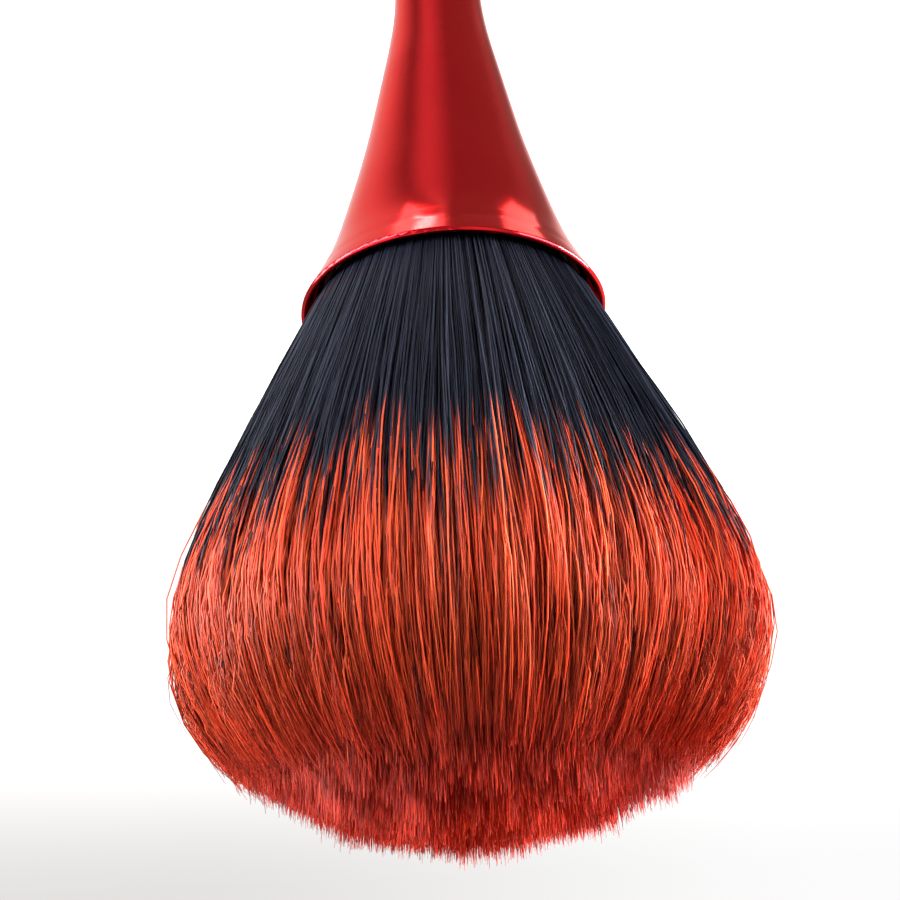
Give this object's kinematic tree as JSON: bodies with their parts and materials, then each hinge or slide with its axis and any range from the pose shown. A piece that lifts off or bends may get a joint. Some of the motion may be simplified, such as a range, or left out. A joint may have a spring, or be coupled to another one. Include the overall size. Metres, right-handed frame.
{
  "type": "neck duster brush",
  "caption": "Standing neck duster with a wide domed tuft of dip-dyed soft fibres in the flared mouth of a slim-waisted metal handle.",
  "frame": {"origin": "centre of the underside of the foot pad, on the floor the brush stands on", "axes": "+Z along the brush's axis, from the foot to the hair tips; X and Y are any two square directions, because the brush is round"},
  "size_m": [0.053, 0.053, 0.1424],
  "materials": {
    "red_anodised": "polished, anodised red",
    "dyed_fibre": "soft tapered fibres, charcoal at the root and brick red to the tip",
    "black_plastic": "moulded, plain",
    "epoxy": "cast, clear amber",
    "bare_aluminium": "crimped strip",
    "steel": "turned",
    "pad_rubber": "matt sheet"
  },
  "bodies": {
    "root": {"handle_shell": "red_anodised", "hair_tuft": "dyed_fibre", "hair_cup": "black_plastic", "root_glue": "epoxy", "binding_ring": "bare_aluminium", "foot_weight": "steel", "foot_plug": "red_anodised", "foot_pad": "pad_rubber"}
  },
  "joints": []
}
